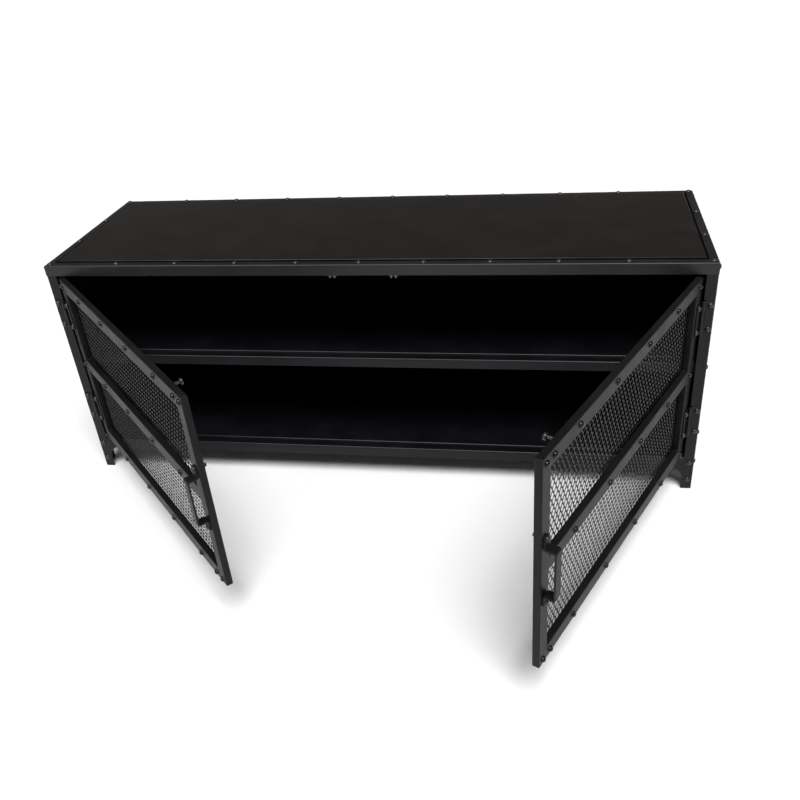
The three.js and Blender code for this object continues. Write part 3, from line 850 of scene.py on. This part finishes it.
# ---------------------------------------------------------------- handles
# Flat steel strap, 16 by 3 mm, bent into a square bow with two round-ended ears, which are riveted
# and bolted to the free stile. Coated with the door.
strap_width = 16
strap_thickness = 3
outer_bend = 4
inner_bend = outer_bend - strap_thickness
grip_half = 42
grip_standoff = 19
ear_length = 22
ear_flat = 0.1  # what the rounding leaves straight at the end of an ear
strap_edge = 0.6
handle_drop = 4
handle_middle = door_middle - handle_drop
handle_rivet_half = 54.5
ear_end = grip_half - strap_thickness + ear_length
small_rivet_radius = 4.9
small_rivet_height = 3.3
hinge_rivet = model_rivet("hinge_rivet", small_rivet_radius, small_rivet_height)
paint(hinge_rivet, glossy_black)
strap_path = [
    (strap_thickness, -ear_end),
    (strap_thickness, -grip_half),
    (grip_standoff, -grip_half),
    (grip_standoff, grip_half),
    (strap_thickness, grip_half),
    (strap_thickness, ear_end),
]


def on_strap(side, out, height):
    """A place on a handle: out from the free stile's face, and above the handle's middle."""
    return on_door(side, door_free_edge - tube_width / 2, -weld_gap - out, handle_middle + height)


for side_name, side in (("left", -1), ("right", 1)):
    door = f"{side_name}_door"
    handle = fold_strip(
        f"{door}_strap_handle",
        [on_strap(side, out, height) for out, height in strap_path],
        ahead,
        strap_width,
        [inner_bend, outer_bend, outer_bend, inner_bend],
    )
    bpy.ops.object.mode_set(mode="EDIT")
    pick("verts", lambda middle, normal: abs(middle.z - handle_middle) > ear_end - touch)
    bpy.ops.mesh.bevel(offset=(strap_width / 2 - ear_flat) * mm, segments=8, affect="VERTICES")
    bpy.ops.object.mode_set(mode="OBJECT")
    give_wall(handle, strap_thickness)
    soften(handle, strap_edge)
    paint(handle, dull_black)
    rivet_places = [on_strap(side, strap_thickness, end * handle_rivet_half) for end in (-1, 1)]
    set_rivets(handle, hinge_rivet, rivet_places, ahead)
    swing(handle, door)
    fit(handle, door, "coated_frame", f"{door}_handle")

# ---------------------------------------------------------------- handle nuts
# The upper ear's bolt passes through the stile. Behind it are a hexagon nut and a little thread, of
# blackened steel.
nut_width = 8
nut_height = 2.5
nut_edge = 0.4
bolt_radius = 3
bolt_tail = 3
bolt_edge = 0.5


def add_bar(name, radius, length, sides, start, direction):
    """A round or many-sided bar from a place along a direction."""
    direction = Vector(direction)
    turn = direction.to_track_quat("Z", "Y").to_euler()
    deselect()
    bpy.ops.mesh.primitive_cylinder_add(
        vertices=sides,
        radius=radius * mm,
        depth=length * mm,
        location=at(Vector(start) + direction * length / 2),
        rotation=turn,
    )
    bpy.context.object.name = name
    apply_place(bpy.context.object)
    return bpy.context.object


for side_name, side in (("left", -1), ("right", 1)):
    door = f"{side_name}_door"
    seat = on_door(
        side,
        door_free_edge - tube_width / 2,
        tube_depth + weld_gap,
        handle_middle + handle_rivet_half,
    )
    nut = add_bar("nut", nut_width / math.sqrt(3), nut_height, 6, seat, behind)
    soften(nut, nut_edge)
    tail = add_bar("tail", bolt_radius, nut_height + bolt_tail, 16, seat, behind)
    soften(tail, bolt_edge)
    nut = join(f"{door}_nut_and_bolt_end", nut, tail)
    paint(nut, black_oxide)
    swing(nut, door)
    fit(nut, door, "blackened_hardware", f"{door}_handle_nut")

# ---------------------------------------------------------------- strikes
# A turned steel button on a stem, screwed into the back of the door's top rail, which the catch's
# poles hold. Blackened.
strike_inset = 54  # from the door's free edge
strike_drop = 5.5  # from the door's top
stem_radius = 2.2
stem_length = 9
strike_head_radius = 5
strike_head_height = 5
strike_round = 1.3

for side_name, side in (("left", -1), ("right", 1)):
    door = f"{side_name}_door"
    root = on_door(side, door_free_edge - strike_inset, tube_depth + weld_gap, door_top - strike_drop)
    stem = add_bar("stem", stem_radius, stem_length + strike_round, 16, root, behind)
    head = add_bar("head", strike_head_radius, strike_head_height, 28, root + behind * stem_length, behind)
    soften(head, strike_round)
    strike = join(f"{door}_turned_strike", head, stem)
    paint(strike, black_oxide)
    swing(strike, door)
    fit(strike, door, "blackened_hardware", f"{door}_strike")

# ---------------------------------------------------------------- hinges
# Surface butt hinges of 2 mm plate rolled round a steel pin: the post leaf has the two outer knuckles and
# the door leaf the middle one. Riveted on, and coated in the posts' darker black, which is painted shade.
hinge_height = 58
leaf_reach = 18
leaf_thickness = 2
leaf_corner = 2.5
leaf_edge = 0.8
knuckle_radius = 3.4
knuckle_wall = 1.4
knuckle_split = 11
running_gap = 0.3
barrel_clear = knuckle_radius + 2 * running_gap
pin_radius = 1.7
pin_head_radius = 2.6
pin_head_height = 1.2
pin_edge = 0.5
tab_edge = 0.2
tab_overlap = 1  # a tab reaches this far over its leaf
hinge_rivet_out = 12.5
hinge_rivet_half = 22
hinge_end_space = 21  # from a door's top or bottom rail to the nearer end of its hinge
hinge_inset = tube_width + hinge_end_space + hinge_height / 2
hinge_heights = {"upper": door_top - hinge_inset, "lower": door_bottom + hinge_inset}
own_knuckles = {
    "post": [
        (-hinge_height / 2, -knuckle_split - running_gap),
        (knuckle_split + running_gap, hinge_height / 2),
    ],
    "door": [(-knuckle_split, knuckle_split)],
}


def roll_leaf(name, axis, reach, seat, knuckles):
    """A leaf that lies on its face at a small seat, with a tab rolled round the pin at each knuckle.
    axis is the pin's middle, and reach the way from the pin across the leaf."""
    face = axis + behind * (hinge_proud - seat - leaf_thickness)
    leaf = fold_strip(
        "leaf",
        [face + reach * barrel_clear, face + reach * leaf_reach],
        ahead,
        hinge_height,
        [],
    )
    bpy.ops.object.mode_set(mode="EDIT")
    pick("verts", lambda middle, normal: abs(middle.x - axis.x) > leaf_reach - touch)
    bpy.ops.mesh.bevel(offset=leaf_corner * mm, segments=4, affect="VERTICES")
    bpy.ops.object.mode_set(mode="OBJECT")
    give_wall(leaf, leaf_thickness)
    soften(leaf, leaf_edge)
    parts = [leaf]
    for start, end in knuckles:
        tab_low, tab_high = corners(
            face + reach * pin_head_radius + up * start,
            face + reach * (barrel_clear + tab_overlap) + behind * leaf_thickness + up * end,
        )
        tab = add_block("tab", tab_low, tab_high)
        soften(tab, tab_edge)
        deselect()
        bpy.ops.mesh.primitive_cylinder_add(
            vertices=32,
            radius=knuckle_radius * mm,
            depth=(end - start) * mm,
            end_fill_type="NOTHING",
            location=at(axis + up * (start + end) / 2),
        )
        barrel = bpy.context.object
        apply_place(barrel)
        give_wall(barrel, knuckle_wall)
        soften(barrel)
        parts += [tab, barrel]
    leaf = join(name, *parts)
    paint(leaf, shade_dark_black)
    set_rivets(
        leaf,
        hinge_rivet,
        [face + reach * hinge_rivet_out + up * end * hinge_rivet_half for end in (-1, 1)],
        ahead,
    )
    return leaf


for side_name, side in (("left", -1), ("right", 1)):
    door = f"{side_name}_door"
    for place_name, height in hinge_heights.items():
        hinge = f"{side_name}_{place_name}_hinge"
        axis = Vector((side * hinge_x, -hinge_proud, height))
        post_leaf = roll_leaf(f"{hinge}_post_rolled_leaf", axis, right * side, 0, own_knuckles["post"])
        fit(post_leaf, "cabinet", "coated_frame", f"{hinge}_post_leaf")
        door_leaf = roll_leaf(
            f"{hinge}_door_rolled_leaf", axis, left * side, running_gap, own_knuckles["door"]
        )
        swing(door_leaf, door)
        fit(door_leaf, door, "coated_frame", f"{hinge}_door_leaf")
        half_pin = hinge_height / 2 + running_gap
        shaft = add_bar("shaft", pin_radius, 2 * half_pin, 16, axis - up * half_pin, up)
        ends = [
            add_bar("end", pin_head_radius, pin_head_height, 20, axis + way * half_pin, way)
            for way in (up, -up)
        ]
        for end in ends:
            soften(end, pin_edge)
        pin = join(f"{hinge}_button_pin", shaft, *ends)
        paint(pin, black_oxide)
        fit(pin, "cabinet", "hinge_pin_steel", f"{hinge}_pin")

# ---------------------------------------------------------------- floor, light and camera
# A pale studio floor without a seam, two soft lamps high up at the front, and a surround that is
# white low down, where the floor runs into it, and dim above.
floor_metres = 240
lamp_lean = 28  # degrees from straight above
# Each lamp's name, strength, breadth and turn from straight ahead, both in degrees.
lamps = [("main_light", 3.4, 30, 22), ("left_gloss_light", 1.8, 24, -45)]
# The surround's shades by height, from 0 at the floor to 1 overhead. The white fades out by about
# 10 degrees up.
surround = [(0.02, "#ffffff"), (0.17, "#494847"), (0.4, "#494847"), (0.75, "#827f7e")]
camera_place = (338.15, -1326.84, 1018.6)  # millimetres
camera_turn = (58.2282, 4.2548, 9.3797)  # degrees

deselect()
bpy.ops.mesh.primitive_plane_add(size=floor_metres)
floor = bpy.context.object
floor.name = "studio_floor"
floor_paint = bpy.data.materials.new("pale_floor_paint")
floor_paint.use_nodes = True
floor_shader = floor_paint.node_tree.nodes["Principled BSDF"]
floor_shader.inputs["Base Color"].default_value = srgb("#fafafa")
floor_shader.inputs["Roughness"].default_value = 0.9
floor_shader.inputs["Specular IOR Level"].default_value = 0.1
floor.data.materials.append(floor_paint)

# The lamps are so far off that they are even over the whole floor. The main one is right of the
# front. The left one is seen in gloss alone, and draws rivets and long edges as fine lights.
for lamp_name, energy, breadth, turn in lamps:
    lamp = bpy.data.lights.new(lamp_name, "SUN")
    lamp.energy = energy
    lamp.angle = math.radians(breadth)
    light = bpy.data.objects.new(lamp_name, lamp)
    light.rotation_euler = (math.radians(lamp_lean), 0, math.radians(turn))
    light.visible_diffuse = lamp_name == "main_light"
    bpy.context.collection.objects.link(light)

world = bpy.data.worlds.new("studio_surround")
world.use_nodes = True
sky = world.node_tree.nodes["Background"]
heading = add_node(world.node_tree, "ShaderNodeTexCoord", {}).outputs["Generated"]
rise = add_node(world.node_tree, "ShaderNodeSeparateXYZ", {"Vector": heading}).outputs["Z"]
by_height = add_node(world.node_tree, "ShaderNodeValToRGB", {"Fac": rise})
ramp = by_height.color_ramp
while len(ramp.elements) < len(surround):
    ramp.elements.new(1)
for stop, (position, shade) in zip(ramp.elements, surround):
    stop.position = position
    stop.color = srgb(shade)
world.node_tree.links.new(by_height.outputs["Color"], sky.inputs["Color"])
bpy.context.scene.world = world

camera_data = bpy.data.cameras.new("camera")
camera_data.sensor_width = 36
camera_data.lens = 37.834
camera_data.shift_x = -0.0013
camera_data.shift_y = 0.0004
camera = bpy.data.objects.new("camera", camera_data)
camera.location = at(camera_place)
camera.rotation_euler = [math.radians(angle) for angle in camera_turn]
bpy.context.collection.objects.link(camera)
bpy.context.scene.camera = camera
bpy.context.scene.view_settings.view_transform = "Standard"

# ---------------------------------------------------------------- the pattern rivets
# The rivets that the others were copied from are taken out.
for pattern in (frame_rivet, door_rivet, hinge_rivet):
    bpy.data.objects.remove(pattern)
bpy.context.view_layer.update()
